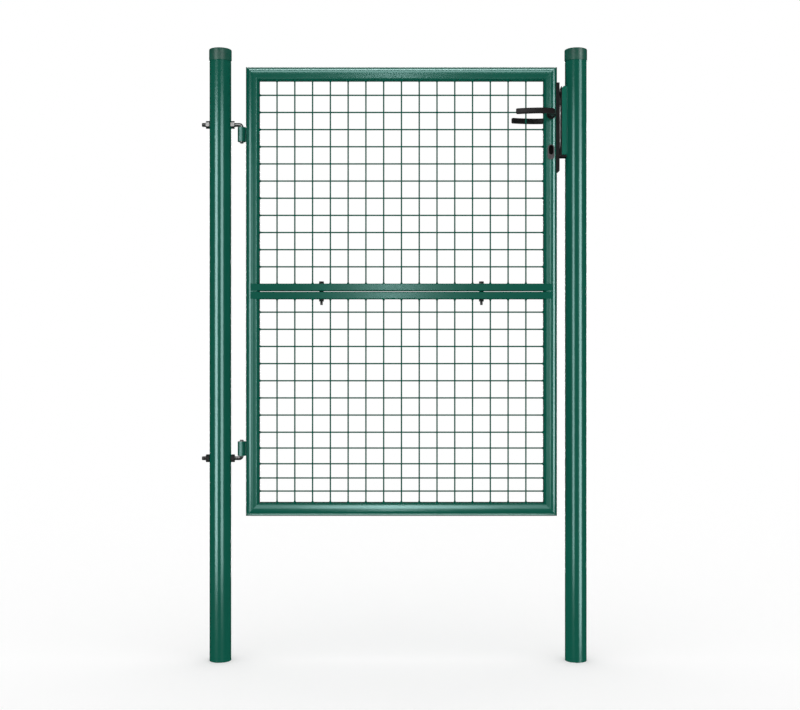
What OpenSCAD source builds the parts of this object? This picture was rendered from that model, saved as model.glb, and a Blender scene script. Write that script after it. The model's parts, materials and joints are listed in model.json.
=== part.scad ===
// Two-panel mesh gate with round posts, gudgeon-pin hinges and a lever lock.
// X runs across the gate from the hinge post, Y runs from front to back, Z is up.
// The origin is the centre of the hinge post's foot. The leaf opens to the front.

/* [Gate] */
// Distance between the two post centres
post_spacing = 1000; // [960:5:1200]
// Width of the leaf over its stiles
leaf_w = 875; // [835:5:1075]
// Height of the leaf over its rails
leaf_h = 1262; // [1200:1:1280]
// Height of the leaf above the foot of the posts
leaf_z = 406; // [380:1:420]

/* [Posts] */
// Outside diameter of a post
post_d = 60.3; // [58:0.1:60.3]
// Wall of a post
post_wall = 1.5; // [1.2:0.1:3]
// Length of a post
post_h = 1713; // [1690:1:1800]
// Height of a post cap
cap_h = 33; // [20:1:40]
// Outside diameter of a post cap
cap_d = 63; // [62:0.5:66]

/* [Leaf frame] */
// Width and depth of the frame tube
tube_w = 38; // [38:1:38]
// Wall of the frame tube and of the middle rails
tube_wall = 1.5; // [1:0.1:2]
// Height of one middle rail
mid_rail_h = 20; // [18:1:24]
// Depth of a middle rail, front to back
mid_rail_d = 40; // [39:0.5:42]
// Gap between the two middle rails
mid_gap = 2.9; // [1:0.1:4]
// Height of the middle of that gap
mid_z = 1037.1; // [1000:0.5:1060]
// Distance of a rail bolt from the middle of the leaf
rail_bolt_x = 225; // [150:5:230]

/* [Mesh] */
// Diameter of the wire
wire_d = 4; // [3:0.5:5]
// Spacing of the upright wires
column_pitch = 50; // [48:1:50]
// Spacing of the level wires
row_pitch = 48.3; // [46:0.1:49]
// Drop from the top rail to the first level wire
upper_first = 40.2; // [30:0.1:45]
// Drop from the middle rails to the first level wire below them
lower_first = 36.5; // [30:0.1:45]

/* [Hinges] */
// Diameter of the hinge bolt's thread
stud_d = 12; // [12:1:12]
// Diameter of its plain rod and pin
rod_d = 10.8; // [10:0.1:10.8]
// Height of the upper hinge bolt
upper_hinge_z = 1506; // [1460:1:1520]
// Height of the lower hinge bolt
lower_hinge_z = 568; // [560:1:640]
// Height of a hinge eye
eye_h = 40; // [30:1:44]
// Outside diameter of a hinge eye
eye_d = 22.6; // [18:0.2:24]

/* [Lock] */
// Height of the lever handles
handle_z = 1531; // [1525:1:1535]
// Distance from the handles down to the key
key_drop = 92; // [92:1:92]
// Reach of a lever from its spindle
lever_reach = 103; // [90:1:120]
// Length of the faceplate
faceplate_h = 250.5; // [248:0.5:256]
// Travel of the latch bolt
latch_throw = 10; // [9:0.5:10]

/* [Hidden] */
$fn = 64;
eps = 0.01;
through = 400;

// Colours
powder_green = [0.05, 0.31, 0.25];
plastic_black = [0.10, 0.10, 0.10];
zinc = [0.72, 0.73, 0.74];
steel = [0.55, 0.56, 0.58];
dull_zinc = [0.42, 0.42, 0.44];

// Leaf: its left and right sides, its top and the edges of its openings
post_r = post_d / 2;
leaf_x0 = 72;
leaf_x1 = leaf_x0 + leaf_w;
leaf_mid_x = (leaf_x0 + leaf_x1) / 2;
leaf_top = leaf_z + leaf_h;
open_x0 = leaf_x0 + tube_w;
open_x1 = leaf_x1 - tube_w;
open_top = leaf_top - tube_w;
open_bottom = leaf_z + tube_w;
tube_r = tube_w / 2;

// Middle rails
upper_mid_z0 = mid_z + mid_gap / 2;
upper_mid_z1 = upper_mid_z0 + mid_rail_h;
lower_mid_z1 = mid_z - mid_gap / 2;
lower_mid_z0 = lower_mid_z1 - mid_rail_h;
mid_rail_lap = 15;
mid_rail_corner = 2.5;
rail_bolt_d = 8;
rail_bolt_hole = 8.6;
rail_washer_t = 1.6;
rail_head_h = 5.3;
rail_nut_h = 6.5;
rail_bolt_end = 10;
rail_nut_af = 13;
rail_washer_d = 16;
rail_spacer_d = 13;
rail_ring_play = 0.4;

// Mesh: wires sink into each other a little where they are welded
wire_sink = 0.8;
wire_y = (wire_d - wire_sink) / 2;
columns_each_side = 7;
upper_rows = 11;
lower_rows = 8;
narrow_rows = [44.5, 44.3, 40, 36.9];

// Hinges
pin_x = 60;
bend_r = 7;
eye_gap = 7.2;
pin_overrun = 4.8;
stud_out = 51.6;
thread_in = 43;
nut_h = 10;
nut_af = 19;
stud_hole = 12.6;
eye_clearance = 0.05;
eye_tab_t = 5;
weld_sink = 0.3;

// Lock
lock_x = leaf_x1 - tube_r;
key_z = handle_z - key_drop;
case_x0 = leaf_x1 - 35.8;
case_x1 = leaf_x1 - 0.2;
case_z0 = 1396;
case_z1 = 1600;
case_half = 8;
case_wall = 1.2;
case_gap = 0.3;
spindle_hole = 13;
boss_x = leaf_x1 - 28;
boss_z = [case_z0 + 9, case_z1 - 10];
boss_d = 7;
boss_screw_d = 3;
boss_head_d = 5.5;
boss_head_h = 1.6;
hub_d = 18;
run = 0.1;

// Faceplate
faceplate_t = 6;
faceplate_x = leaf_x1 + faceplate_t;
faceplate_half = 12;
faceplate_z1 = 1623;
faceplate_z0 = faceplate_z1 - faceplate_h;
faceplate_screw_z = [faceplate_z0 + 12, faceplate_z1 - 12];
faceplate_screw_d = 5;
faceplate_head_d = 9;
faceplate_head_h = 2.2;
faceplate_wing = 6;
bolt_gap = 0.2;

// Latch bolt and its spring
latch_z = handle_z + 41.5;
latch_h = 20;
latch_half = 5.5;
latch_back = leaf_x1 - 12;
latch_foot_x = leaf_x1 - 24.4;
latch_foot_t = 1.8;
latch_foot_h = 6;
latch_foot_z = handle_z + 10.5;
spring_r = 4.2;
spring_wire = 1;
spring_turns = 7;

// Deadbolt and cylinder
bolt_z = 1430;
bolt_h = 18.4;
bolt_half = 5;
bolt_back = leaf_x1 - 11;
cyl_w = 12.4;
cyl_drop = 13.4;
cyl_out = 22.5;
cyl_gap = 0.2;
plug_d = 9;
plug_out = 23.1;
cam_half = 4.5;
cam_r = 16.3;
cam_w = 5;
escutcheon_w = 18.7;
escutcheon_top = 1447.2;
escutcheon_bottom = 1405.7;
escutcheon_y = 21.3;
slot_w = 1.4;
slot_h = 6;

// Handles
rose_d = 25;
rose_y = 24;
rose_inner_y = 13;
neck_d = 18;
neck_y0 = 19.6;
neck_y1 = 58;
grip_h = 15.7;
grip_t = 10;
spindle_w = 8;
spindle_half = 50;
grub_d = 4;
grub_y = 34;

// Strike on the latch post
strike_x0 = 956.6;
strike_x1 = 959.4;
strike_lug_x = 955.5;
strike_half = 14;
strike_z0 = 1413.7;
strike_edge_z1 = 1419.8;
strike_edge_gap = 0.3;
strike_z1 = 1612;
lug_low_z1 = 1441.4;
lug_high_z0 = 1560.3;
pocket_gap = 0.5;
stop_x0 = 936;
stop_y = 17.6;
stop_t = 2.5;
stop_z0 = 1590;
stop_z1 = 1604;
bracket_t = 2.5;
bracket_half = 15;
bracket_z0 = 1420.5;
bracket_z1 = 1612.7;
bracket_chamfer = 5;
strike_screw_z = [1462, 1540];
strike_screw_d = 5;
strike_head_d = 9;
strike_head_h = 2.2;

// Points on an arc around (cx, cy)
function arc(cx, cy, r, a0, a1, steps) = [
  for (i = [0:steps])
    let (a = a0 + (a1 - a0) * i / steps)
      [cx + r * cos(a), cy + r * sin(a)]
];

// A rounded rectangle centred on the origin
function rounded(w, h, r) = concat(
  arc(w / 2 - r, h / 2 - r, r, 0, 90, 6),
  arc(r - w / 2, h / 2 - r, r, 90, 180, 6),
  arc(r - w / 2, r - h / 2, r, 180, 270, 6),
  arc(w / 2 - r, r - h / 2, r, 270, 360, 6)
);

// Front half of the frame tube's outline, set in by t. The outer side is a half round, and a small
// step sets off a nearly flat band that ends in a roll on the side of the opening.
function tube_edge(t) = concat(
  arc(tube_r, 0, tube_r - t, 180, 90, 18),
  [[22.2, tube_r - t], [22.6, tube_r - 0.3 - t]],
  arc(29.5, 9.6, 8.5 - t, 84, 0, 9)
);

function tube_outline(t) =
  let (edge = tube_edge(t))
    concat(edge, [for (i = [len(edge) - 1:-1:1]) [edge[i][0], -edge[i][1]]]);

function running_sum(list, count) = count == 0 ? 0 : list[count - 1] + running_sum(list, count - 1);

function lower_row_z(i) =
  let (evenly = min(i, lower_rows - 1))
    lower_mid_z0 - lower_first - evenly * row_pitch - running_sum(narrow_rows, i - evenly);

// ---------- shared shapes ----------

module along_x() { rotate([0, 90, 0]) children(); }

module along_y() { rotate([-90, 0, 0]) children(); }

// Hexagonal nut with its axis along Z and its lower face at 0
module hex_nut(af, h, bore) {
  difference() {
    cylinder(h = h, d = af / cos(30), $fn = 6);
    translate([0, 0, -1]) cylinder(h = h + 2, d = bore);
  }
}

module ring(outer, inner, h) {
  difference() {
    cylinder(h = h, d = outer);
    translate([0, 0, -1]) cylinder(h = h + 2, d = inner);
  }
}

// A countersunk screw along +X with its flat head at x = 0
module flat_screw(d, head_d, head_h, length) {
  along_x() rotate_extrude() polygon([
    [0, 0], [head_d / 2, 0], [d / 2, head_h], [d / 2, length], [0, length]
  ]);
}

// A frame tube along +Z, with the opening on its +X side. A mitred end is cut at 45 degrees.
module frame_tube(length, mitre_start, mitre_end) {
  spare = 1;
  far = tube_w + spare;
  start = mitre_start ? [-spare, far] : [-far, -far];
  end = mitre_end ? [length + spare, length - far] : [length + far, length + far];
  intersection() {
    linear_extrude(length) difference() {
      polygon(tube_outline(0));
      polygon(tube_outline(tube_wall));
    }
    rotate([90, 0, 0]) linear_extrude(2 * far, center = true)
      polygon([[-spare, start[0]], [far, start[1]], [far, end[1]], [-spare, end[0]]]);
  }
}

module hinge_side(z) { translate([leaf_x0, 0, z]) children(); }

module latch_side(z) { translate([leaf_x1, 0, z]) mirror([1, 0, 0]) children(); }

// The space that the whole latch stile fills, for parts that fit against it
module latch_stile_space() {
  latch_side(leaf_z) linear_extrude(leaf_h) polygon(tube_outline(0));
}

module key_shape(w) {
  for (drop = [0, cyl_drop]) translate([lock_x, 0, key_z - drop]) along_y()
    cylinder(h = through, d = w, center = true);
  translate([lock_x - w / 2, -through / 2, key_z - cyl_drop]) cube([w, through, cyl_drop]);
}

// ---------- posts ----------

module post_tube(x) {
  translate([x, 0, 0]) difference() {
    cylinder(h = post_h, d = post_d);
    translate([0, 0, -1]) cylinder(h = post_h + 2, d = post_d - 2 * post_wall);
  }
}

module post_cap(x) {
  edge = 2.5;
  skin = (cap_d - post_d) / 2 - run;
  cap_top = post_h + 4;
  translate([x, 0, cap_top - cap_h]) rotate_extrude() polygon(concat(
    [[0, cap_h], [0, cap_h - 4], [cap_d / 2 - skin, cap_h - 4], [cap_d / 2 - skin, 0], [cap_d / 2, 0]],
    arc(cap_d / 2 - edge, cap_h - edge, edge, 0, 90, 6)
  ));
}

module hinge_post() {
  color(powder_green) difference() {
    post_tube(0);
    for (z = [lower_hinge_z, upper_hinge_z])
      translate([-post_d, 0, z]) along_x() cylinder(h = 2 * post_d, d = stud_hole);
  }
}

module latch_post() { color(powder_green) post_tube(post_spacing); }

module hinge_post_cap() { color(powder_green) post_cap(0); }

module latch_post_cap() { color(powder_green) post_cap(post_spacing); }

// Threaded rod through the post, bent into a pin that points down
module hinge_bolt() {
  pin_end = eye_gap + eye_h + pin_overrun;
  translate([-stud_out, 0, 0]) along_x() cylinder(h = stud_out + thread_in, d = stud_d);
  translate([thread_in - eps, 0, 0]) along_x()
    cylinder(h = pin_x - bend_r - thread_in + eps, d = rod_d);
  translate([pin_x - bend_r, 0, -bend_r]) rotate([90, 0, 0])
    rotate_extrude(angle = 90) translate([bend_r, 0]) circle(d = rod_d);
  translate([pin_x, 0, -pin_end]) rotate_extrude() polygon([
    [0, 0], [rod_d / 2 - 1.5, 0], [rod_d / 2, 1.5], [rod_d / 2, pin_end - bend_r],
    [0, pin_end - bend_r]
  ]);
}

module upper_hinge_bolt() { color(zinc) translate([0, 0, upper_hinge_z]) hinge_bolt(); }

module lower_hinge_bolt() {
  color(zinc) translate([0, 0, lower_hinge_z]) mirror([0, 0, 1]) hinge_bolt();
}

module hinge_nuts(x) {
  color(zinc) for (z = [lower_hinge_z, upper_hinge_z])
    translate([x, 0, z]) along_x() hex_nut(nut_af, nut_h, stud_d + run);
}

module hinge_outer_nuts() { hinge_nuts(-post_r - nut_h); }

module hinge_inner_nuts() { hinge_nuts(post_r + 0.05); }

// ---------- strike ----------

// Openings for the latch bolt and the deadbolt
module strike_pockets() {
  depth = strike_x1 + bracket_t - strike_lug_x;
  for (hole = [[latch_z, latch_h, latch_half], [bolt_z, bolt_h, bolt_half]])
    translate([strike_lug_x - 1, -hole[2] - 1, hole[0] - hole[1] / 2 - pocket_gap])
      cube([depth + 2, 2 * hole[2] + 2, hole[1] + 2 * pocket_gap]);
}

module strike_bracket() {
  depth = post_spacing - strike_x1;
  color(powder_green) difference() {
    translate([strike_x1, 0, 0]) rotate([90, 0, 0])
      linear_extrude(2 * bracket_half, center = true) polygon([
        [0, bracket_z0], [depth, bracket_z0], [depth, bracket_z1],
        [bracket_chamfer, bracket_z1], [0, bracket_z1 - bracket_chamfer]
      ]);
    translate([strike_x1 + bracket_t, -bracket_half + bracket_t, bracket_z0 - 1])
      cube([depth, 2 * (bracket_half - bracket_t), bracket_z1 - bracket_z0 - bracket_t + 1]);
    translate([post_spacing, 0, 0]) cylinder(h = 2 * post_h, d = post_d);
    strike_pockets();
    for (z = strike_screw_z) translate([strike_x1 - 1, 0, z]) along_x()
      cylinder(h = bracket_t + 2, d = strike_screw_d + run);
  }
}

// Plate with a raised lug at each end, and a lower edge that reaches under the bracket
module strike_plate() {
  color(plastic_black) difference() {
    rotate([90, 0, 0]) linear_extrude(2 * strike_half, center = true) polygon([
      [strike_lug_x, strike_z0], [post_spacing, strike_z0], [post_spacing, strike_edge_z1],
      [strike_x1, strike_edge_z1], [strike_x1, strike_z1],
      [strike_x1 - 2, strike_z1], [strike_lug_x, strike_z1 - 6],
      [strike_lug_x, lug_high_z0], [strike_x0, lug_high_z0],
      [strike_x0, lug_low_z1], [strike_lug_x, lug_low_z1]
    ]);
    translate([post_spacing, 0, strike_z0 - 1])
      cylinder(h = strike_edge_z1 - strike_z0 + 2, r = post_r + strike_edge_gap);
    strike_pockets();
    for (z = strike_screw_z) translate([strike_x0, 0, z]) {
      flat_screw(strike_screw_d + run, strike_head_d + run, strike_head_h, 20);
    }
  }
}

// Angle behind the strike plate that stops the leaf as it closes
module rear_stop() {
  color(plastic_black) translate([0, 0, stop_z0]) linear_extrude(stop_z1 - stop_z0) polygon([
    [stop_x0, stop_y], [strike_x0, stop_y], [strike_x0, strike_half], [strike_x1, strike_half],
    [strike_x1, stop_y + stop_t], [stop_x0, stop_y + stop_t]
  ]);
}

module strike_screws() {
  color(zinc) for (z = strike_screw_z) translate([strike_x0, 0, z])
    flat_screw(strike_screw_d, strike_head_d, strike_head_h, 10);
}

// ---------- leaf frame ----------

module top_rail() {
  color(powder_green) translate([leaf_x0, 0, leaf_top]) along_x() frame_tube(leaf_w, true, true);
}

module bottom_rail() {
  color(powder_green) translate([leaf_x0, 0, leaf_z]) mirror([0, 0, 1]) along_x()
    frame_tube(leaf_w, true, true);
}

module upper_hinge_stile() {
  color(powder_green) hinge_side(mid_z) frame_tube(leaf_top - mid_z, false, true);
}

module lower_hinge_stile() {
  color(powder_green) hinge_side(leaf_z) frame_tube(mid_z - leaf_z, true, false);
}

module lower_latch_stile() {
  color(powder_green) latch_side(leaf_z) frame_tube(mid_z - leaf_z, true, false);
}

// This stile is cut for the lock case, the spindle, the cylinder and the faceplate screws
module upper_latch_stile() {
  color(powder_green) difference() {
    latch_side(mid_z) frame_tube(leaf_top - mid_z, false, true);
    translate([lock_x + tube_r / 2, -case_half - case_gap, case_z0 - case_gap])
      cube([tube_w, 2 * (case_half + case_gap), case_z1 - case_z0 + 2 * case_gap]);
    translate([lock_x, 0, handle_z]) along_y()
      cylinder(h = through, d = spindle_hole, center = true);
    key_shape(cyl_w + cyl_gap);
    for (z = faceplate_screw_z) translate([lock_x, 0, z]) along_x()
      cylinder(h = tube_w, d = faceplate_screw_d + run);
  }
}

// Short tubes inside the stiles that line up the upper and lower halves of the leaf
module stile_sleeves() {
  sleeve_h = 120;
  color(steel) for (side = [0, 1])
    translate([side == 0 ? leaf_x0 : leaf_x1, 0, mid_z - sleeve_h / 2]) mirror([side, 0, 0])
      linear_extrude(sleeve_h) difference() {
        polygon(tube_outline(tube_wall + run));
        polygon(tube_outline(2 * tube_wall + run));
      }
}

// Rectangular tube that laps over both stiles
module mid_rail(z) {
  color(powder_green) difference() {
    translate([leaf_x0 + mid_rail_lap, 0, z + mid_rail_h / 2]) along_x()
      linear_extrude(leaf_w - 2 * mid_rail_lap) difference() {
        polygon(rounded(mid_rail_h, mid_rail_d, mid_rail_corner));
        polygon(rounded(mid_rail_h - 2 * tube_wall, mid_rail_d - 2 * tube_wall,
          mid_rail_corner - tube_wall));
      }
    hinge_side(z - 1) linear_extrude(mid_rail_h + 2) polygon(tube_outline(0));
    latch_side(z - 1) linear_extrude(mid_rail_h + 2) polygon(tube_outline(0));
    for (side = [-1, 1]) translate([leaf_mid_x + side * rail_bolt_x, 0, z - 1])
      cylinder(h = mid_rail_h + 2, d = rail_bolt_hole);
  }
}

module upper_mid_rail() { mid_rail(upper_mid_z0); }

module lower_mid_rail() { mid_rail(lower_mid_z0); }

module at_rail_bolts() {
  for (side = [-1, 1]) translate([leaf_mid_x + side * rail_bolt_x, 0, 0]) children();
}

module rail_bolts() {
  seat = upper_mid_z1 + rail_washer_t;
  tip = lower_mid_z0 - rail_nut_h - rail_bolt_end;
  color(zinc) at_rail_bolts() {
    translate([0, 0, seat]) cylinder(h = rail_head_h, d = rail_nut_af / cos(30), $fn = 6);
    translate([0, 0, tip]) cylinder(h = seat - tip + eps, d = rail_bolt_d);
  }
}

module rail_washers() {
  color(zinc) at_rail_bolts() translate([0, 0, upper_mid_z1])
    ring(rail_washer_d, rail_bolt_d + rail_ring_play, rail_washer_t);
}

module rail_spacers() {
  color(plastic_black) at_rail_bolts() translate([0, 0, mid_z - mid_gap / 2])
    ring(rail_spacer_d, rail_bolt_d + rail_ring_play, mid_gap);
}

module rail_nuts() {
  color(zinc) at_rail_bolts() translate([0, 0, lower_mid_z0 - rail_nut_h])
    hex_nut(rail_nut_af, rail_nut_h, rail_bolt_d + run);
}

// ---------- hinge eyes ----------

// Eye and tab, hanging down from z = 0
module hinge_eye() {
  difference() {
    union() {
      translate([pin_x, 0, -eye_h]) cylinder(h = eye_h, d = eye_d);
      translate([pin_x, -eye_tab_t / 2, -eye_h])
        cube([leaf_x0 + weld_sink - pin_x, eye_tab_t, eye_h]);
    }
    translate([pin_x, 0, -eye_h - 1]) cylinder(h = eye_h + 2, r = rod_d / 2 + eye_clearance);
  }
}

module upper_hinge_eye() {
  color(powder_green) translate([0, 0, upper_hinge_z - eye_gap]) hinge_eye();
}

module lower_hinge_eye() {
  color(powder_green) translate([0, 0, lower_hinge_z + eye_gap + eye_h]) hinge_eye();
}

// ---------- mesh ----------

module upright_wires(z0, z1) {
  color(powder_green) for (i = [-columns_each_side:columns_each_side])
    translate([leaf_mid_x + i * column_pitch, -wire_y, z0]) cylinder(h = z1 - z0, d = wire_d);
}

module level_wire(z) {
  translate([open_x0, wire_y, z]) along_x() cylinder(h = open_x1 - open_x0, d = wire_d);
}

module upper_upright_wires() { upright_wires(upper_mid_z1, open_top); }

module lower_upright_wires() { upright_wires(open_bottom, lower_mid_z0); }

module upper_level_wires() {
  color(powder_green) for (i = [0:upper_rows - 1])
    level_wire(open_top - upper_first - i * row_pitch);
}

module lower_level_wires() {
  color(powder_green) for (i = [0:lower_rows + len(narrow_rows) - 1])
    level_wire(lower_row_z(i));
}

// ---------- lock ----------

module lock_plate_holes() {
  translate([lock_x, 0, handle_z]) along_y() cylinder(h = through, d = hub_d + run, center = true);
  key_shape(cyl_w + cyl_gap);
  for (z = boss_z) translate([boss_x, 0, z]) along_y()
    cylinder(h = through, d = boss_screw_d + run, center = true);
}

module lock_case() {
  height = case_z1 - case_z0;
  color(steel) difference() {
    union() {
      difference() {
        translate([case_x0, -case_half + case_wall, case_z0])
          cube([case_x1 - case_x0, 2 * case_half - case_wall, height]);
        translate([case_x0 + case_wall, -case_half, case_z0 + case_wall])
          cube([case_x1 - case_x0, 2 * case_half - case_wall, height - 2 * case_wall]);
      }
      for (z = boss_z) translate([boss_x, -case_half + case_wall, z]) along_y()
        cylinder(h = 2 * case_half - case_wall - eps, d = boss_d);
    }
    lock_plate_holes();
  }
}

module lock_cover() {
  color(steel) difference() {
    translate([case_x0, -case_half, case_z0])
      cube([case_x1 - case_x0, case_wall, case_z1 - case_z0]);
    lock_plate_holes();
  }
}

module lock_cover_screws() {
  color(zinc) for (z = boss_z) translate([boss_x, -case_half, z]) along_y() {
    translate([0, 0, -boss_head_h]) cylinder(h = boss_head_h, d = boss_head_d);
    translate([0, 0, -eps]) cylinder(h = 2 * case_half, d = boss_screw_d);
  }
}

// Long plate with a hollow back that fits the round side of the stile
module lock_faceplate() {
  chamfer = 3;
  color(plastic_black) difference() {
    rotate([90, 0, 0]) linear_extrude(2 * faceplate_half, center = true) polygon([
      [leaf_x1 - faceplate_wing, faceplate_z0], [faceplate_x - chamfer, faceplate_z0],
      [faceplate_x, faceplate_z0 + chamfer], [faceplate_x, faceplate_z1],
      [leaf_x1 - faceplate_wing, faceplate_z1]
    ]);
    latch_stile_space();
    translate([case_x0, -case_half - case_gap, case_z0 - case_gap])
      cube([leaf_x1 - case_x0, 2 * (case_half + case_gap), case_z1 - case_z0 + 2 * case_gap]);
    translate([lock_x, -latch_half - bolt_gap, latch_z - latch_h / 2 - bolt_gap])
      cube([tube_w, 2 * (latch_half + bolt_gap), latch_h + 2 * bolt_gap]);
    translate([lock_x, -bolt_half - bolt_gap, bolt_z - bolt_h / 2 - bolt_gap])
      cube([tube_w, 2 * (bolt_half + bolt_gap), bolt_h + 2 * bolt_gap]);
    for (z = faceplate_screw_z) translate([faceplate_x, 0, z]) mirror([1, 0, 0])
      flat_screw(faceplate_screw_d + run, faceplate_head_d + run, faceplate_head_h, 20);
  }
}

module faceplate_screws() {
  color(zinc) for (z = faceplate_screw_z) translate([faceplate_x, 0, z]) mirror([1, 0, 0])
    flat_screw(faceplate_screw_d, faceplate_head_d, faceplate_head_h, 12);
}

// Collar round a handle's neck; side is -1 at the front and 1 at the back
module rose(side) {
  color(plastic_black) difference() {
    translate([lock_x, side * (rose_y + rose_inner_y) / 2, handle_z]) along_y()
      cylinder(h = rose_y - rose_inner_y, d = rose_d, center = true);
    latch_stile_space();
    translate([lock_x, 0, handle_z]) along_y()
      cylinder(h = through, d = neck_d + 2 * run, center = true);
  }
}

module front_rose() { rose(-1); }

module rear_rose() { rose(1); }

// Key surround, rounded at both ends and hollowed to fit the stile
module escutcheon(side) {
  thick = 6;
  r = escutcheon_w / 2;
  color(dull_zinc) difference() {
    translate([0, side * (escutcheon_y - thick / 2), 0]) {
      for (z = [escutcheon_top - r, escutcheon_bottom + r]) translate([lock_x, 0, z])
        along_y() cylinder(h = thick, d = escutcheon_w, center = true);
      translate([lock_x - r, -thick / 2, escutcheon_bottom + r])
        cube([escutcheon_w, thick, escutcheon_top - escutcheon_bottom - escutcheon_w]);
    }
    latch_stile_space();
    key_shape(cyl_w + cyl_gap);
  }
}

module front_escutcheon() { escutcheon(-1); }

module rear_escutcheon() { escutcheon(1); }

// Cylinder body in two halves joined by a bridge below the cam
module lock_cylinder() {
  bridge_z = key_z - cyl_drop + 1;
  color(plastic_black) difference() {
    intersection() {
      key_shape(cyl_w);
      translate([lock_x - tube_w, -cyl_out, key_z - tube_w])
        cube([2 * tube_w, 2 * cyl_out, 2 * tube_w]);
    }
    translate([lock_x, 0, key_z]) along_y()
      cylinder(h = through, d = plug_d + run, center = true);
    translate([lock_x - tube_w, -cam_half - 0.3, bridge_z])
      cube([2 * tube_w, 2 * cam_half + 0.6, tube_w]);
  }
}

// Plug with a key slot in each face, and the cam that pushes the deadbolt
module key_plug() {
  color(dull_zinc) translate([lock_x, 0, key_z]) {
    difference() {
      along_y() cylinder(h = 2 * plug_out, d = plug_d, center = true);
      for (side = [-1, 1]) translate([-slot_w / 2, side * plug_out - 4, -slot_h / 2])
        cube([slot_w, 8, slot_h]);
    }
    along_y() cylinder(h = 2 * cam_half, d = plug_d + 2.4, center = true);
    translate([-cam_w / 2, -cam_half, 0]) cube([cam_w, 2 * cam_half, cam_r]);
  }
}

// Bevelled head, with a foot that the follower's arm pushes
module latch_bolt() {
  tip = faceplate_x + latch_throw;
  bevel = 7;
  low = latch_z - latch_h / 2;
  color(zinc) {
    translate([0, 0, low]) linear_extrude(latch_h) polygon([
      [latch_back, -latch_half], [tip, -latch_half], [tip, latch_half - bevel],
      [tip - latch_throw + 1, latch_half], [latch_back, latch_half]
    ]);
    translate([latch_foot_x, -latch_half, low - latch_foot_h])
      cube([latch_back + 5 - latch_foot_x, 2 * latch_half, latch_foot_h + eps]);
    translate([latch_foot_x, -latch_half, latch_foot_z])
      cube([latch_foot_t, 2 * latch_half, low - latch_foot_h - latch_foot_z + eps]);
  }
}

// Compression spring between the case and the latch head
module latch_spring() {
  x0 = case_x0 + case_wall + spring_wire / 2;
  x1 = latch_back - spring_wire / 2;
  sides = 8;
  per_turn = 14;
  rings = spring_turns * per_turn;
  points = [
    for (k = [0:rings], s = [0:sides - 1])
      let (
        a = 360 * k / per_turn,
        b = 360 * s / sides,
        r = spring_r + spring_wire / 2 * cos(b)
      )
        [x0 + (x1 - x0) * k / rings + spring_wire / 2 * sin(b), r * cos(a), r * sin(a)]
  ];
  skin = [
    for (k = [0:rings - 1], s = [0:sides - 1])
      let (t = (s + 1) % sides, base = k * sides)
        [base + s, base + t, base + sides + t, base + sides + s]
  ];
  first_end = [for (s = [sides - 1:-1:0]) s];
  last_end = [for (s = [0:sides - 1]) rings * sides + s];
  color(steel) translate([0, 0, latch_z + 0.5])
    polyhedron(points = points, faces = concat(skin, [first_end, last_end]), convexity = 6);
}

module deadbolt() {
  color(steel) translate([bolt_back, -bolt_half, bolt_z - bolt_h / 2])
    cube([faceplate_x - bolt_back, 2 * bolt_half, bolt_h]);
}

// ---------- handles ----------

// Hub that the spindle turns, with an arm up to the latch's foot
module follower() {
  arm_left = 2.7;
  arm_w = 6;
  arm_top = 17;
  color(steel) translate([lock_x, 0, handle_z]) difference() {
    union() {
      along_y() cylinder(h = 2 * case_half, d = hub_d, center = true);
      translate([-arm_left, -latch_half, 0]) cube([arm_w, 2 * latch_half, arm_top]);
    }
    cube([spindle_w + run, 4 * case_half, spindle_w + run], center = true);
  }
}

module spindle() {
  color(steel) translate([lock_x, 0, handle_z])
    cube([spindle_w, 2 * spindle_half, spindle_w], center = true);
}

// A cross section of the grip, x from the spindle and y out from the leaf
module grip_slice(x, y, turn) {
  translate([-x, -y, 0]) rotate([0, 0, turn]) along_x()
    linear_extrude(0.5, center = true) polygon(rounded(grip_h, grip_t, 4));
}

// Lever that bows away from the leaf and comes back towards it at the tip
module lever() {
  color(plastic_black) difference() {
    union() {
      translate([0, -neck_y0, 0]) rotate([90, 0, 0]) cylinder(h = neck_y1 - neck_y0, d = neck_d);
      hull() {
        translate([0, -neck_y1 + 0.5, 0]) rotate([90, 0, 0]) cylinder(h = 1, d = neck_d, $fn = 32);
        grip_slice(3, 67, -60);
        grip_slice(12, 72.5, -20);
      }
      hull() { grip_slice(12, 72.5, -20); grip_slice(30, 75, 0); }
      hull() { grip_slice(30, 75, 0); grip_slice(62, 73, 6); }
      hull() { grip_slice(62, 73, 6); grip_slice(lever_reach - 2, 64, 14); }
    }
    translate([0, -spindle_half / 2, 0])
      cube([spindle_w + run, spindle_half + 0.2, spindle_w + run], center = true);
    translate([0, -grub_y, -neck_d]) cylinder(h = neck_d, d = grub_d + run);
  }
}

module front_handle() { translate([lock_x, 0, handle_z]) lever(); }

module rear_handle() { translate([lock_x, 0, handle_z]) mirror([0, 1, 0]) lever(); }

module handle_grub_screws() {
  color(zinc) for (side = [-1, 1])
    translate([lock_x, side * grub_y, handle_z - neck_d / 2 + 0.3])
      cylinder(h = (neck_d - spindle_w) / 2 - 0.3, d = grub_d);
}

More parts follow.
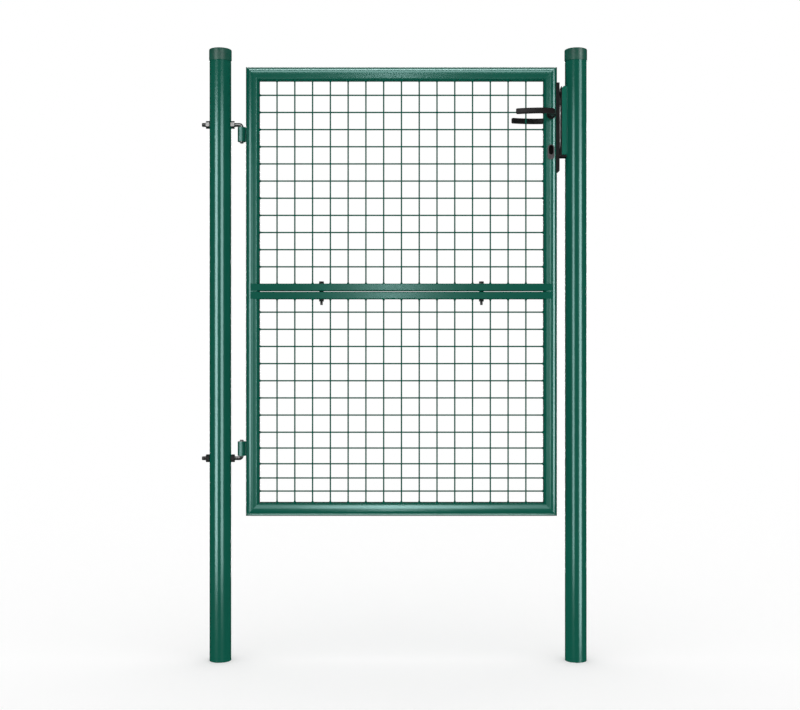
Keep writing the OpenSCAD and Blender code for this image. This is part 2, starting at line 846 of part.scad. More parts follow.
hinge_post();
latch_post();
hinge_post_cap();
latch_post_cap();
upper_hinge_bolt();
lower_hinge_bolt();
hinge_outer_nuts();
hinge_inner_nuts();
strike_bracket();
strike_plate();
strike_screws();
rear_stop();
top_rail();
bottom_rail();
upper_mid_rail();
lower_mid_rail();
upper_hinge_stile();
upper_latch_stile();
lower_hinge_stile();
lower_latch_stile();
stile_sleeves();
upper_hinge_eye();
lower_hinge_eye();
upper_upright_wires();
upper_level_wires();
lower_upright_wires();
lower_level_wires();
rail_bolts();
rail_washers();
rail_spacers();
rail_nuts();
lock_case();
lock_cover();
lock_cover_screws();
lock_faceplate();
faceplate_screws();
front_rose();
rear_rose();
front_escutcheon();
rear_escutcheon();
lock_cylinder();
latch_spring();
latch_bolt();
deadbolt();
key_plug();
follower();
spindle();
front_handle();
rear_handle();
handle_grub_screws();
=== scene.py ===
"""Looks for the mesh gate: materials, smooth detail pieces, soft studio light and a level camera.
Lengths are in metres. +X runs from the hinge post to the latch post, +Y to the back, +Z up.
"""

import json
import math

import bmesh
import bpy
from mathutils import Matrix, Vector

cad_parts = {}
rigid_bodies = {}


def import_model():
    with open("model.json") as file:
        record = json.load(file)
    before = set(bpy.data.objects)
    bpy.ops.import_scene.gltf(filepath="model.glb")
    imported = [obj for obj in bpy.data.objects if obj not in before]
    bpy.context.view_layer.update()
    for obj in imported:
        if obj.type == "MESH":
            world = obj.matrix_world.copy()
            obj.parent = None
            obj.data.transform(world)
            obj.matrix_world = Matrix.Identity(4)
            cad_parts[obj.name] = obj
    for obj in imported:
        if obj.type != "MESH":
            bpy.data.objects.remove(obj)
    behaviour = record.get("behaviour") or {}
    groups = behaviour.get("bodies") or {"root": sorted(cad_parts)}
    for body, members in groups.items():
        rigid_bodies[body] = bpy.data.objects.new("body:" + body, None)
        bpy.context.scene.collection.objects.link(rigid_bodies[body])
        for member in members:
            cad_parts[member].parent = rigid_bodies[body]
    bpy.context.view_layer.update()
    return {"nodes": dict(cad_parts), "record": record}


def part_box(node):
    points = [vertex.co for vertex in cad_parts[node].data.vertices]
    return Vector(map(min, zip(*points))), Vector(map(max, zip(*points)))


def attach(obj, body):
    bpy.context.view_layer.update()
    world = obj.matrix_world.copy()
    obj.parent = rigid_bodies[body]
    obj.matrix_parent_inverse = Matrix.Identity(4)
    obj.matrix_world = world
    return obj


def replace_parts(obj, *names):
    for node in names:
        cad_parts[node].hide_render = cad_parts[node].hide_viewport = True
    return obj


for spare in list(bpy.data.objects):
    bpy.data.objects.remove(spare)

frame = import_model()
NODES = frame["nodes"]
MM = 0.001
X_AXIS, Y_AXIS, Z_AXIS = Vector((1, 0, 0)), Vector((0, 1, 0)), Vector((0, 0, 1))

# ---------- materials ----------

# most values of a noise texture lie between these
NOISE_LOW, NOISE_HIGH = 0.3, 0.7


def shader(name, color, roughness, metallic=0.0, tint=(1.0, 1.0, 1.0)):
    """A new material and its Principled node."""
    material = bpy.data.materials.new(name)
    material.use_nodes = True
    node = material.node_tree.nodes["Principled BSDF"]
    node.inputs["Base Color"].default_value = (*color, 1.0)
    node.inputs["Roughness"].default_value = roughness
    node.inputs["Metallic"].default_value = metallic
    node.inputs["Specular Tint"].default_value = (*tint, 1.0)
    return material, node


def noise(tree, scale, detail, stretch=(1.0, 1.0, 1.0)):
    """Noise in object space, so that it stays with the part."""
    place = tree.nodes.new("ShaderNodeTexCoord")
    mapping = tree.nodes.new("ShaderNodeMapping")
    mapping.inputs["Scale"].default_value = stretch
    texture = tree.nodes.new("ShaderNodeTexNoise")
    texture.inputs["Scale"].default_value = scale
    texture.inputs["Detail"].default_value = detail
    tree.links.new(place.outputs["Object"], mapping.inputs["Vector"])
    tree.links.new(mapping.outputs["Vector"], texture.inputs["Vector"])
    return texture.outputs["Fac"]


def spread(tree, source, low, high):
    """Maps noise to the range low to high."""
    remap = tree.nodes.new("ShaderNodeMapRange")
    remap.inputs["From Min"].default_value = NOISE_LOW
    remap.inputs["From Max"].default_value = NOISE_HIGH
    remap.inputs["To Min"].default_value = low
    remap.inputs["To Max"].default_value = high
    tree.links.new(source, remap.inputs["Value"])
    return remap.outputs["Result"]


def vary_color(tree, node, source, color, shade):
    """Drifts the base colour between the given one and a darker shade of it."""
    mix = tree.nodes.new("ShaderNodeMix")
    mix.data_type = "RGBA"
    mix.inputs["A"].default_value = (*[shade * c for c in color], 1.0)
    mix.inputs["B"].default_value = (*color, 1.0)
    tree.links.new(spread(tree, source, 0.0, 1.0), mix.inputs["Factor"])
    tree.links.new(mix.outputs["Result"], node.inputs["Base Color"])


def vary_roughness(tree, node, source, low, high):
    tree.links.new(spread(tree, source, low, high), node.inputs["Roughness"])


def add_bump(tree, node, source, strength, distance):
    bump = tree.nodes.new("ShaderNodeBump")
    bump.inputs["Strength"].default_value = strength
    bump.inputs["Distance"].default_value = distance
    tree.links.new(source, bump.inputs["Height"])
    tree.links.new(bump.outputs["Normal"], node.inputs["Normal"])


def powder_coat(name, color, roughness):
    """Smooth powder coating with a faint orange peel and a slight drift of tone."""
    material, node = shader(name, color, roughness, tint=(0.67, 1.0, 1.0))
    tree = material.node_tree
    vary_color(tree, node, noise(tree, scale=9.0, detail=4.0), color, shade=0.93)
    vary_roughness(
        tree, node, noise(tree, scale=60.0, detail=3.0), roughness - 0.01, roughness + 0.015
    )
    add_bump(tree, node, noise(tree, scale=260.0, detail=1.0), strength=0.02, distance=0.2 * MM)
    return material


def plated(name, color, roughness, stretch=(1.0, 1.0, 1.0)):
    """Zinc or steel with a mottled tone and fine marks."""
    material, node = shader(name, color, roughness, metallic=1.0)
    tree = material.node_tree
    vary_color(tree, node, noise(tree, scale=180.0, detail=5.0), color, shade=0.72)
    marks = noise(tree, 320.0, 4.0, stretch)
    vary_roughness(tree, node, marks, roughness - 0.08, roughness + 0.12)
    scratches = noise(tree, 900.0, 3.0, stretch)
    add_bump(tree, node, scratches, strength=0.12, distance=0.1 * MM)
    return material


def moulded(name, color, roughness):
    """Moulded plastic with a fine spark-eroded grain."""
    material, node = shader(name, color, roughness)
    tree = material.node_tree
    vary_color(tree, node, noise(tree, scale=40.0, detail=3.0), color, shade=0.8)
    vary_roughness(
        tree, node, noise(tree, scale=150.0, detail=4.0), roughness - 0.05, roughness + 0.08
    )
    add_bump(tree, node, noise(tree, scale=1600.0, detail=2.0), strength=0.2, distance=0.1 * MM)
    return material


GREEN = (0.0020, 0.096, 0.062)
BLACK = (0.016, 0.013, 0.014)
DEEP_BLACK = (0.004, 0.003, 0.004)
ZINC = (0.62, 0.62, 0.61)
STEEL = (0.42, 0.42, 0.43)
GREY = (0.66, 0.62, 0.64)
LONG_MARKS = (1.0, 1.0, 8.0)

SLOT_MATERIALS = {
    "green_paint": powder_coat("green_powder_coat", GREEN, roughness=0.19),
    "cap_paint": moulded("green_cap_plastic", GREEN, roughness=0.34),
    "zinc": plated("zinc_plate", ZINC, roughness=0.30),
    "plain_steel": plated("plain_steel", STEEL, roughness=0.38, stretch=LONG_MARKS),
    "grey_metal": plated("grey_metal", GREY, roughness=0.42),
    "black_plastic": moulded("black_plastic", BLACK, roughness=0.40),
}
SLOT_OF_NODE = {part["node"]: part["material_slot"] for part in frame["record"]["subparts"]}


def use_material(node_name, material):
    for holder in NODES[node_name].material_slots:
        holder.material = material


for node_name in NODES:
    use_material(node_name, SLOT_MATERIALS[SLOT_OF_NODE[node_name]])

# the lock's centre gets a deeper black than the other black parts: its own black, with painted
# shade for its recessed keyway
KEYWAY_NODES = ("lock_cylinder", "key_plug")
lock_black_painted_shade = moulded("lock_black_painted_shade", DEEP_BLACK, roughness=0.45)
for node_name in KEYWAY_NODES:
    use_material(node_name, lock_black_painted_shade)

STILES = ("upper_hinge_stile", "lower_hinge_stile", "upper_latch_stile", "lower_latch_stile")
MID_RAILS = ("upper_mid_rail", "lower_mid_rail")
RAILS = ("top_rail", "bottom_rail", *MID_RAILS)
WIRES = (
    "upper_upright_wires", "upper_level_wires", "lower_upright_wires", "lower_level_wires"
)

# points of a CAD mesh closer than this are one point
SAME_POINT = 0.001 * MM
OUTLINE_SPLIT = math.radians(32)


def smooth_outline(node_name):
    """Shades an extruded profile smoothly, and keeps the sharper edges."""
    cad_object = NODES[node_name]
    mesh = cad_object.data
    if "custom_normal" in mesh.attributes:
        mesh.attributes.remove(mesh.attributes["custom_normal"])
    mesh.shade_smooth()
    weld = cad_object.modifiers.new("weld", "WELD")
    weld.merge_threshold = SAME_POINT
    split = cad_object.modifiers.new("split", "EDGE_SPLIT")
    split.split_angle = OUTLINE_SPLIT


for node_name in ("top_rail", "bottom_rail", *STILES, "stile_sleeves", *MID_RAILS):
    smooth_outline(node_name)

# ---------- mesh helpers ----------


def piece(name, slot, body, vertices, faces, sharp_degrees=35):
    """A new object with the slot's material, riding on a CAD body."""
    mesh = bpy.data.meshes.new(name)
    mesh.from_pydata([tuple(v) for v in vertices], [], faces)
    tidy = bmesh.new()
    tidy.from_mesh(mesh)
    bmesh.ops.remove_doubles(tidy, verts=tidy.verts, dist=SAME_POINT / 2)
    bmesh.ops.recalc_face_normals(tidy, faces=tidy.faces)
    tidy.to_mesh(mesh)
    tidy.free()
    mesh.shade_smooth()
    mesh.set_sharp_from_angle(angle=math.radians(sharp_degrees))
    made = bpy.data.objects.new(name, mesh)
    bpy.context.scene.collection.objects.link(made)
    made.data.materials.append(SLOT_MATERIALS[slot])
    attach(made, body)
    return made


def loft(rings, caps=True):
    """Vertices and faces of a skin over rings that all have the same number of points."""
    count = len(rings[0])
    vertices = [point for ring in rings for point in ring]
    faces = []
    for row in range(len(rings) - 1):
        for k in range(count):
            after = (k + 1) % count
            faces.append((
                row * count + k, row * count + after,
                (row + 1) * count + after, (row + 1) * count + k,
            ))
    if caps:
        faces.append(tuple(reversed(range(count))))
        faces.append(tuple((len(rings) - 1) * count + k for k in range(count)))
    return vertices, faces


def join_shapes(shapes):
    """One list of vertices and faces from several."""
    vertices, faces = [], []
    for some_vertices, some_faces in shapes:
        start = len(vertices)
        vertices += [Vector(v) for v in some_vertices]
        faces += [tuple(start + k for k in face) for face in some_faces]
    return vertices, faces


def moved(shape, matrix):
    vertices, faces = shape
    return [matrix @ Vector(v) for v in vertices], faces


def turned(axis, degrees, at):
    return Matrix.Translation(Vector(at)) @ Matrix.Rotation(math.radians(degrees), 4, axis)


def round_ring(centre, across, up, radius, count=36):
    """Points round a centre. The radius is a number, or a function of the angle."""
    ring = []
    for k in range(count):
        angle = 2 * math.pi * k / count
        r = radius(angle) if callable(radius) else radius
        ring.append(centre + across * (r * math.cos(angle)) + up * (r * math.sin(angle)))
    return ring


def solid_boxes(node_name):
    """Low and high corners of each of a node's separate solids."""
    links = bmesh.new()
    links.from_mesh(NODES[node_name].data)
    bmesh.ops.remove_doubles(links, verts=links.verts, dist=SAME_POINT)
    seen, boxes = set(), []
    for first in links.verts:
        if first in seen:
            continue
        solid, todo = [], [first]
        seen.add(first)
        while todo:
            vertex = todo.pop()
            solid.append(vertex.co.copy())
            for edge in vertex.link_edges:
                other = edge.other_vert(vertex)
                if other not in seen:
                    seen.add(other)
                    todo.append(other)
        low = Vector([min(co[i] for co in solid) for i in range(3)])
        high = Vector([max(co[i] for co in solid) for i in range(3)])
        boxes.append((low, high))
    links.free()
    return boxes


# ---------- fasteners ----------

THREAD_ROWS = 8  # rings in one turn of a thread


def thread_radius(axial, angle, outer, pitch, depth):
    """Radius of a V thread at a place along and around its axis."""
    phase = (axial / pitch - angle / (2 * math.pi)) % 1.0
    return outer - depth * abs(2 * phase - 1)


def threaded_rings(first, length, centre_at, across, up, outer, pitch, depth, lead, cut):
    """Rings of a threaded end. It starts at the coordinate first, cut back by cut, and has its
    full size after the lead."""
    step = pitch / THREAD_ROWS
    rings = []
    for i in range(int(length / step) + 1):
        place = first + i * step
        cut_back = cut * (1 - min(1.0, (place - first) / lead))
        rings.append(round_ring(centre_at(place), across, up, lambda angle: (
            thread_radius(place, angle, outer, pitch, depth) - cut_back)))
    return rings


def hex_radius(angle, across_flats):
    """Distance from the centre to a hexagon's edge, with a flat facing angle 30 degrees."""
    sector = math.pi / 3
    return across_flats / 2 / math.cos((angle % sector) - sector / 2)


def hex_prism(across_flats, height, bore=0, bottom_chamfer=True):
    """Hexagon along +Z from 0 with turned-off corners, and a bore if one is given."""
    points, steps = 72, 3
    corner = across_flats / math.sqrt(3)
    turned_off = 0.94 * corner
    drop = (corner - turned_off) * math.tan(math.radians(30))
    bore_lead = 0.4 * MM

    def hexagon(z, limit):
        return round_ring(
            Z_AXIS * z, X_AXIS, Y_AXIS, lambda a: min(hex_radius(a, across_flats), limit), points
        )

    def circle(z, radius):
        return round_ring(Z_AXIS * z, X_AXIS, Y_AXIS, radius, points)

    bottom = [
        hexagon(drop * i / steps, turned_off + (corner - turned_off) * i / steps)
        for i in range(steps + 1)
    ]
    if not bottom_chamfer:
        bottom = [hexagon(0.0, corner)]
    top = [
        hexagon(height - drop * (1 - i / steps), corner - (corner - turned_off) * i / steps)
        for i in range(steps + 1)
    ]
    rings = bottom + top
    if bore:
        inside = [
            circle(height, bore / 2 + bore_lead), circle(height - bore_lead, bore / 2),
            circle(bore_lead, bore / 2), circle(0.0, bore / 2 + bore_lead),
        ]
        rings = rings + inside + [rings[0]]
    return loft(rings, caps=not bore)


def nuts_along_x(node_name, body):
    bore = 12.1 * MM
    shapes = []
    for low, high in solid_boxes(node_name):
        middle = (low + high) / 2
        nut = hex_prism(high.y - low.y, high.x - low.x, bore)
        # this turn puts a corner along Z, where the CAD nut has one
        shapes.append(moved(nut, turned("Y", 90, (low.x, middle.y, middle.z))))
    made = piece(node_name + "_chamfered", "zinc", body, *join_shapes(shapes), sharp_degrees=28)
    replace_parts(made, node_name)


nuts_along_x("hinge_outer_nuts", "posts")
nuts_along_x("hinge_inner_nuts", "posts")

# distance from the pin's end and radius there, both in millimetres
PIN_END = ((3.0, 5.4), (1.5, 5.4), (1.1, 5.2), (0.4, 4.5), (0.0, 3.9))


def hinge_bolt(node_name, pin_down):
    """Threaded rod, a quarter bend and a plain pin, as one skin."""
    low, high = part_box(node_name)
    thread, rod, bend, bend_steps = 6.0 * MM, 5.4 * MM, 7.0 * MM, 16
    thread_end, run_out = 43 * MM, 0.6 * MM
    pin_x = high[0] - rod
    axis_z = high[2] - thread if pin_down else low[2] + thread
    sign = -1 if pin_down else 1
    end_z = low[2] if pin_down else high[2]
    rings = threaded_rings(
        low[0], thread_end - low[0], lambda x: Vector((x, 0, axis_z)), Y_AXIS, Z_AXIS,
        outer=thread, pitch=1.75 * MM, depth=1.0 * MM, lead=1.2 * MM, cut=1.0 * MM,
    )
    rings.append(round_ring(Vector((thread_end + run_out, 0, axis_z)), Y_AXIS, Z_AXIS, rod))
    for i in range(bend_steps + 1):
        angle = math.radians(90 * i / bend_steps)
        centre = Vector((
            pin_x - bend + bend * math.sin(angle), 0, axis_z + sign * bend * (1 - math.cos(angle))
        ))
        outward = Z_AXIS * math.cos(angle) - X_AXIS * (sign * math.sin(angle))
        rings.append(round_ring(centre, Y_AXIS, outward, rod))
    for drop, radius in PIN_END:
        centre = Vector((pin_x, 0, end_z - sign * drop * MM))
        rings.append(round_ring(centre, Y_AXIS, X_AXIS * -sign, radius * MM))
    made = piece(node_name + "_threaded", "zinc", "posts", *loft(rings), sharp_degrees=60)
    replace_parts(made, node_name)


hinge_bolt("upper_hinge_bolt", True)
hinge_bolt("lower_hinge_bolt", False)


def rail_bolts():
    """Two bolts with hexagon heads and threaded ends, and their nuts."""
    bolts, nuts = [], []
    thread, threaded, nut_bore = 4.0 * MM, 24 * MM, 8.1 * MM
    head_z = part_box("rail_washers")[1][2]
    for low, high in solid_boxes("rail_bolts"):
        x = (low.x + high.x) / 2
        head = hex_prism(high.y - low.y, high.z - head_z, bottom_chamfer=False)
        bolts.append(moved(head, turned("Z", 30, (x, 0, head_z))))
        rings = threaded_rings(
            low.z, threaded, lambda z: Vector((x, 0, z)), X_AXIS, Y_AXIS,
            outer=thread, pitch=1.25 * MM, depth=0.65 * MM, lead=1.0 * MM, cut=0.7 * MM,
        )
        for z in (low.z + threaded + MM, head_z):
            rings.append(round_ring(Vector((x, 0, z)), X_AXIS, Y_AXIS, thread))
        bolts.append(loft(rings))
    for low, high in solid_boxes("rail_nuts"):
        x = (low.x + high.x) / 2
        nut = hex_prism(high.y - low.y, high.z - low.z, nut_bore)
        nuts.append(moved(nut, turned("Z", 30, (x, 0, low.z))))
    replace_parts(piece("rail_bolts_threaded", "zinc", "leaf", *join_shapes(bolts)), "rail_bolts")
    made = piece("rail_nuts_chamfered", "zinc", "leaf", *join_shapes(nuts), sharp_degrees=28)
    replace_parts(made, "rail_nuts")


rail_bolts()

# ---------- levers ----------

NECK_HALF = 9.0  # millimetres, like the next two
GRIP_HALF_THICK, GRIP_HALF_HIGH = 5.0, 7.8
NECK_POWER, GRIP_MORE_POWER = 2.0, 2.4  # of the superellipse: 2 is round, more is squarer
# these are fractions of the lever's length
FLATTEN_START, FLATTEN_LENGTH = 0.24, 0.26
TIP_START, TIP_LENGTH, TIP_CUT = 0.965, 0.035, 0.62
ROOT_LENGTH, ROOT_CUT = 0.01, 0.04
TANGENT_STEP = 0.004
TIP_FULL_HEIGHT = 0.25  # part of the height that the tip keeps however far it narrows
# distance towards the hinges and from the leaf's middle plane, in millimetres
BOW = (
    (0, 19.6), (0, 34), (0, 48), (0.4, 58), (5, 67.5), (14.5, 72.6), (30, 74.6), (50, 74),
    (72, 70.8), (90, 66.7),
)
BOW_END_SHORT, BOW_END_OUT = 0.6, 63.2


def smooth_step(t):
    t = min(1.0, max(0.0, t))
    return t * t * (3 - 2 * t)


def curve_point(points, t):
    """A point on a smooth curve through the given points, t from 0 to 1."""
    spans = len(points) - 1
    place = min(spans - 1e-9, max(0.0, t * spans))
    i = int(place)
    f = place - i
    p0, p1 = points[max(0, i - 1)], points[i]
    p2, p3 = points[i + 1], points[min(spans, i + 2)]
    return 0.5 * (
        2 * p1 + (p2 - p0) * f + (2 * p0 - 5 * p1 + 4 * p2 - p3) * f * f
        + (3 * p1 - p0 - 3 * p2 + p3) * f * f * f
    )


def squared(half, value, power):
    """One coordinate of a superellipse, from the sine or cosine given."""
    return half * math.copysign(abs(value) ** (2 / power), value)


def lever(node_name, side):
    """Round neck that sweeps into a flat-sided grip and curves back towards the leaf."""
    low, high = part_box(node_name)
    centre = Vector((high[0] - NECK_HALF * MM, 0, (low[2] + high[2]) / 2))
    reach = high[0] - NECK_HALF * MM - low[0]
    bow = (*BOW, (reach / MM - BOW_END_SHORT, BOW_END_OUT))
    spine = [Vector((-x * MM, -y * MM, 0)) for x, y in bow]
    rows, points = 110, 40
    rings = []
    for i in range(rows + 1):
        t = i / rows
        here = curve_point(spine, t)
        ahead = curve_point(spine, min(1.0, t + TANGENT_STEP))
        behind = curve_point(spine, max(0.0, t - TANGENT_STEP))
        across = (ahead - behind).normalized().cross(Z_AXIS)
        flatten = smooth_step((t - FLATTEN_START) / FLATTEN_LENGTH)
        half_thick = NECK_HALF + (GRIP_HALF_THICK - NECK_HALF) * flatten
        half_high = NECK_HALF + (GRIP_HALF_HIGH - NECK_HALF) * flatten
        power = NECK_POWER + GRIP_MORE_POWER * flatten
        tip = max(0.0, (t - TIP_START) / TIP_LENGTH)
        root = max(0.0, 1 - t / ROOT_LENGTH)
        shrink = math.sqrt(max(0.0, 1 - TIP_CUT * tip * tip)) * (1 - ROOT_CUT * root)
        kept = TIP_FULL_HEIGHT + (1 - TIP_FULL_HEIGHT) * shrink
        ring = []
        for k in range(points):
            angle = 2 * math.pi * k / points
            width = squared(half_thick * shrink, math.cos(angle), power)
            height = squared(half_high * kept, math.sin(angle), power)
            point = here + across * (width * MM) + Vector((0, 0, height * MM))
            point.y *= -side
            ring.append(point + centre)
        rings.append(ring)
    made = piece(node_name + "_moulded", "black_plastic", "handles", *loft(rings), sharp_degrees=50)
    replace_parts(made, node_name)


lever("front_handle", -1)
lever("rear_handle", 1)

# ---------- welds ----------


def flare(root, direction, wire_radius):
    """Fillet of weld metal round the end of a wire, widest at its root."""
    length, steps, points = 6 * MM, 6, 14
    tip_size, root_more = 1.02, 1.2
    side = direction.orthogonal().normalized()
    other = direction.cross(side)
    rings = []
    for i in range(steps + 1):
        t = i / steps
        radius = wire_radius * (tip_size + root_more * (1 - t) ** 2)
        rings.append(round_ring(root + direction * (length * t), side, other, radius, points))
    return loft(rings, caps=False)


def crossing_bead():
    """Squeezed joint of two wires, centred on 0 and flatter along Y."""
    across, along, rows, points = 2.5 * MM, 1.5 * MM, 5, 10
    rings = []
    for i in range(rows):
        polar = math.pi * (i + 0.5) / rows
        centre = Vector((0, along * math.cos(polar), 0))
        rings.append(round_ring(centre, X_AXIS, Z_AXIS, across * math.sin(polar), points))
    return loft(rings)


def wire_welds(name, uprights, levels):
    """Fillets at both ends of every wire, and a small squeezed joint at each crossing."""
    shapes = []
    columns, rows = [], []
    for low, high in solid_boxes(uprights):
        x, y = (low.x + high.x) / 2, (low.y + high.y) / 2
        radius = (high.x - low.x) / 2
        columns.append(x)
        shapes.append(flare(Vector((x, y, low.z)), Z_AXIS, radius))
        shapes.append(flare(Vector((x, y, high.z)), -Z_AXIS, radius))
    for low, high in solid_boxes(levels):
        y, z = (low.y + high.y) / 2, (low.z + high.z) / 2
        radius = (high.z - low.z) / 2
        rows.append(z)
        shapes.append(flare(Vector((low.x, y, z)), X_AXIS, radius))
        shapes.append(flare(Vector((high.x, y, z)), -X_AXIS, radius))
    bead = crossing_bead()
    for x in columns:
        for z in rows:
            shapes.append(moved(bead, Matrix.Translation((x, 0, z))))
    piece(name, "green_paint", "leaf", *join_shapes(shapes), sharp_degrees=80)


wire_welds("upper_wire_welds", "upper_upright_wires", "upper_level_wires")
wire_welds("lower_wire_welds", "lower_upright_wires", "lower_level_wires")


def weld_bead(start, end, radius):
    """Painted weld bead with the ripples of its puddles, and with narrower ends."""
    start, end = Vector(start), Vector(end)
    along = (end - start).normalized()
    side = along.orthogonal().normalized()
    other = along.cross(side)
    length = (end - start).length
    ripple, ripple_swell, ripple_rows, fewest_rows, points = 2.6 * MM, 0.10, 6, 8, 12
    taper, end_area = 1.5 * MM, 0.15
    rows = max(fewest_rows, int(length / (ripple / ripple_rows)))
    rings = []
    for i in range(rows + 1):
        place = length * i / rows
        swell = 1 + ripple_swell * math.cos(2 * math.pi * place / ripple)
        edge = min(place, length - place)
        swell *= math.sqrt(min(1.0, end_area + edge / taper))
        rings.append(round_ring(start + along * place, side, other, radius * swell, points))
    return loft(rings)


def leaf_weld_beads():
    """Beads in front of and behind each hinge eye, where it meets the stile."""
    radius, half_eye = 1.3 * MM, 2.9 * MM
    shapes = []
    stile_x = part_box("upper_hinge_stile")[0][0]
    for eye in ("upper_hinge_eye", "lower_hinge_eye"):
        low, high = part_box(eye)
        for y in (-half_eye, half_eye):
            shapes.append(weld_bead((stile_x, y, low[2] + MM), (stile_x, y, high[2] - MM), radius))
    piece("leaf_weld_beads", "green_paint", "leaf", *join_shapes(shapes), sharp_degrees=80)


def post_weld_beads():
    """Beads in front of and behind the strike bracket, where it meets the post."""
    radius, out = 1.2 * MM, 0.1 * MM
    low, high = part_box("strike_bracket")
    shapes = [
        weld_bead((high[0], y, low[2] + MM), (high[0], y, high[2] - MM), radius)
        for y in (low[1] - out, high[1] + out)
    ]
    piece("post_weld_beads", "green_paint", "posts", *join_shapes(shapes), sharp_degrees=80)


leaf_weld_beads()
post_weld_beads()

# ---------- stage, light and camera ----------

CAMERA_PLACE = Vector((0.5054, -3.25, 0.8585))
LENS_MM, SENSOR_MM, VIEW_END = 51.96, 36.0, 100.0
FILL_STRENGTH, GLOSS_STRENGTH = 1.0, 0.02
BACK_Y = 3.4
HINGE_POST_X, LATCH_POST_X, MIDDLE_X = 0.0, 1.0, 0.5
PIN_X = 0.060
HINGE_STILE_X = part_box("upper_hinge_stile")[0][0]
LATCH_STILE_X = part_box("upper_latch_stile")[1][0]
ROLL = 0.03  # from a stile's outer side in to the rolled edge of its front
TOP_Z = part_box("top_rail")[1][2]
BOTTOM_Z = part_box("bottom_rail")[0][2]


def floor():
    size = 40.0
    mesh = bpy.data.meshes.new("floor")
    mesh.from_pydata(
        [(-size, -size, 0), (size, -size, 0), (size, size, 0), (-size, size, 0)], [], [(0, 1, 2, 3)]
    )
    made = bpy.data.objects.new("floor", mesh)
    bpy.context.scene.collection.objects.link(made)
    material, node = shader("pale_floor", (0.9, 0.9, 0.9), roughness=1.0)
    node.inputs["Specular IOR Level"].default_value = 0.0
    node.inputs["Emission Color"].default_value = (1.0, 1.0, 1.0, 1.0)
    node.inputs["Emission Strength"].default_value = 0.10
    mesh.materials.append(material)
    # it doesn't show in the gloss of the gate and doesn't light or shade it
    made.visible_glossy = False
    made.visible_diffuse = False
    made.visible_shadow = False


def world():
    """White behind the gate, an even fill on its surfaces, and almost nothing in its gloss."""
    made = bpy.data.worlds.new("studio")
    bpy.context.scene.world = made
    made.use_nodes = True
    tree = made.node_tree
    tree.nodes.clear()
    path = tree.nodes.new("ShaderNodeLightPath")

    def background(strength):
        node = tree.nodes.new("ShaderNodeBackground")
        node.inputs["Color"].default_value = (1.0, 1.0, 1.0, 1.0)
        node.inputs["Strength"].default_value = strength
        return node.outputs["Background"]

    def choose(test, otherwise, chosen):
        mix = tree.nodes.new("ShaderNodeMixShader")
        tree.links.new(path.outputs[test], mix.inputs["Fac"])
        tree.links.new(otherwise, mix.inputs[1])
        tree.links.new(chosen, mix.inputs[2])
        return mix.outputs["Shader"]

    seen = choose("Is Glossy Ray", background(FILL_STRENGTH), background(GLOSS_STRENGTH))
    seen = choose("Is Camera Ray", seen, background(1.0))
    output = tree.nodes.new("ShaderNodeOutputWorld")
    tree.links.new(seen, output.inputs["Surface"])


def group(name, *names):
    """CAD nodes and pieces made here, for a light to be limited to."""
    made = bpy.data.collections.new(name)
    for each in names:
        made.objects.link(NODES[each] if each in NODES else bpy.data.objects[each])
    return made


def soft_box(name, place, target, width, height, radiance, only, glossy=True, diffuse=False):
    """Area light of the given radiance, facing its target and shining only on a group."""
    light = bpy.data.lights.new(name, "AREA")
    light.shape = "RECTANGLE"
    light.size = width
    light.size_y = height
    light.energy = radiance * width * height * math.pi
    made = bpy.data.objects.new(name, light)
    made.location = place
    direction = Vector(target) - Vector(place)
    made.rotation_euler = direction.to_track_quat("-Z", "Y").to_euler()
    made.visible_camera = False
    made.visible_glossy = glossy
    made.visible_diffuse = diffuse
    made.light_linking.receiver_collection = only
    bpy.context.scene.collection.objects.link(made)


def strip_width(distance, degrees):
    """Width of a strip that fills an angle at a distance."""
    return 2 * distance * math.tan(math.radians(degrees / 2))


def side_strip(name, only, x, azimuth, low, high, width, radiance):
    """Tall strip seen from a place on the gate at an azimuth from the front, minus to the left.
    It shows in an upright surface from the elevation low to the elevation high, in degrees."""
    distance = 2.5
    angle = math.radians(azimuth)
    z0 = CAMERA_PLACE.z + (distance - CAMERA_PLACE.y) * math.tan(math.radians(low))
    z1 = CAMERA_PLACE.z + (distance - CAMERA_PLACE.y) * math.tan(math.radians(high))
    place = (x + distance * math.sin(angle), -distance * math.cos(angle), (z0 + z1) / 2)
    wide = strip_width(distance, width)
    soft_box(name, place, (x, 0, place[2]), wide, z1 - z0, radiance, only)


def rail_strip(name, only, z, elevation, width, radiance, length=2.6):
    """Level strip seen from a rail at an elevation from the front, beyond 90 degrees behind it."""
    distance = 1.6
    angle = math.radians(elevation)
    place = (MIDDLE_X, -distance * math.cos(angle), z + distance * math.sin(angle))
    wide = strip_width(distance, width)
    soft_box(name, place, (MIDDLE_X, 0, z), length, wide, radiance, only)


def back_strip(name, only, x):
    """Tall strip straight behind a part, as seen from the camera, so that only views from behind
    show it."""
    middle_z, width, height, radiance = 0.9, 0.9, 2.6, 11.0
    behind = x + (x - CAMERA_PLACE.x) * BACK_Y / -CAMERA_PLACE.y
    soft_box(name, (behind, BACK_Y, middle_z), (x, 0, middle_z), width, height, radiance, only)


world()
floor()

